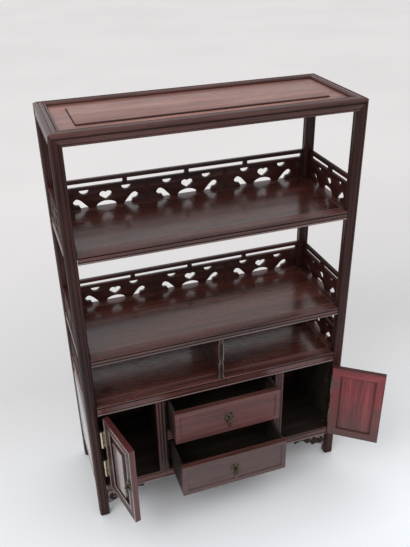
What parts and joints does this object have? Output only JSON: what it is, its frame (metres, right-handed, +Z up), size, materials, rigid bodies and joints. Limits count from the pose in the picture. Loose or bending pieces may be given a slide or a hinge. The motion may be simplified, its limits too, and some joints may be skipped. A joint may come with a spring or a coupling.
{
  "type": "display shelf",
  "caption": "Dark hardwood display shelf with pierced galleries round its open shelves, over a low base with hinged cupboard doors and sliding drawers.",
  "frame": {"origin": "on the floor, in the middle of the box round the shelf as pictured, with doors and drawers open", "axes": "+X to the right along the front, +Y from the front to the back, +Z up along the posts"},
  "size_m": [0.4464, 0.2298, 0.604],
  "materials": {
    "rosewood": "dark red-brown, polished",
    "brass": "pale, satin",
    "dark_brass": "aged, dull"
  },
  "bodies": {
    "carcass": {"cabinet_back": "rosewood", "cabinet_floor": "rosewood", "cabinet_partition_left": "rosewood", "cabinet_partition_right": "rosewood", "cabinet_side_left": "rosewood", "cabinet_side_right": "rosewood", "cabinet_top": "rosewood", "corner_bracket_left": "rosewood", "corner_bracket_right": "rosewood", "drawer_divider": "rosewood", "left_door_lower_hinge_fixed_leaf": "brass", "left_door_upper_hinge_fixed_leaf": "brass", "lower_gallery_back": "rosewood", "lower_gallery_left": "rosewood", "lower_gallery_right": "rosewood", "middle_gallery_back": "rosewood", "middle_gallery_left": "rosewood", "middle_gallery_right": "rosewood", "middle_shelf_frame": "rosewood", "middle_shelf_panel": "rosewood", "niche_divider": "rosewood", "post_back_left": "rosewood", "post_back_right": "rosewood", "post_front_left": "rosewood", "post_front_right": "rosewood", "right_door_lower_hinge_fixed_leaf": "brass", "right_door_upper_hinge_fixed_leaf": "brass", "top_frame": "rosewood", "top_panel": "rosewood", "upper_gallery_back": "rosewood", "upper_gallery_left": "rosewood", "upper_gallery_right": "rosewood", "upper_shelf_frame": "rosewood", "upper_shelf_panel": "rosewood"},
    "left_door": {"left_door_frame": "rosewood", "left_door_lower_hinge_moving_leaf": "brass", "left_door_panel": "rosewood", "left_door_pull_plate": "dark_brass", "left_door_upper_hinge_moving_leaf": "brass"},
    "left_door_drop": {"left_door_pull_drop": "dark_brass"},
    "lower_drawer": {"lower_drawer_back": "rosewood", "lower_drawer_bottom": "rosewood", "lower_drawer_front": "rosewood", "lower_drawer_left_side": "rosewood", "lower_drawer_pull_plate": "dark_brass", "lower_drawer_right_side": "rosewood"},
    "lower_drawer_drop": {"lower_drawer_pull_drop": "dark_brass"},
    "right_door": {"right_door_frame": "rosewood", "right_door_lower_hinge_moving_leaf": "brass", "right_door_panel": "rosewood", "right_door_pull_plate": "dark_brass", "right_door_upper_hinge_moving_leaf": "brass"},
    "right_door_drop": {"right_door_pull_drop": "dark_brass"},
    "upper_drawer": {"upper_drawer_back": "rosewood", "upper_drawer_bottom": "rosewood", "upper_drawer_front": "rosewood", "upper_drawer_left_side": "rosewood", "upper_drawer_pull_plate": "dark_brass", "upper_drawer_right_side": "rosewood"},
    "upper_drawer_drop": {"upper_drawer_pull_drop": "dark_brass"}
  },
  "joints": [
    {"name": "left_door_hinge", "type": "hinge", "parent": "carcass", "child": "left_door", "pos_m": [-0.20891, -0.03653, 0.128], "axis": [0, 0, -1], "range_deg": [-76, 94]},
    {"name": "right_door_hinge", "type": "hinge", "parent": "carcass", "child": "right_door", "pos_m": [0.15849, -0.03653, 0.128], "axis": [0, 0, 1], "range_deg": [-143, 27]},
    {"name": "upper_drawer_slide", "type": "slide", "parent": "carcass", "child": "upper_drawer", "axis": [0, -1, 0], "range_m": [-0.03, 0.06]},
    {"name": "lower_drawer_slide", "type": "slide", "parent": "carcass", "child": "lower_drawer", "axis": [0, -1, 0], "range_m": [-0.059, 0.031]},
    {"name": "left_door_drop_swing", "type": "hinge", "parent": "left_door", "child": "left_door_drop", "pos_m": [-0.19202, -0.10755, 0.1277], "axis": [-0.2419, 0.9703, 0], "range_deg": [-5, 80]},
    {"name": "right_door_drop_swing", "type": "hinge", "parent": "right_door", "child": "right_door_drop", "pos_m": [0.21727, -0.07982, 0.1277], "axis": [0.7986, -0.6018, 0], "range_deg": [-5, 80]},
    {"name": "upper_drawer_drop_swing", "type": "hinge", "parent": "upper_drawer", "child": "upper_drawer_drop", "pos_m": [-0.02521, -0.06582, 0.16415], "axis": [-1, 0, 0], "range_deg": [-5, 80]},
    {"name": "lower_drawer_drop_swing", "type": "hinge", "parent": "lower_drawer", "child": "lower_drawer_drop", "pos_m": [-0.02521, -0.09483, 0.08815], "axis": [-1, 0, 0], "range_deg": [-5, 80]}
  ]
}
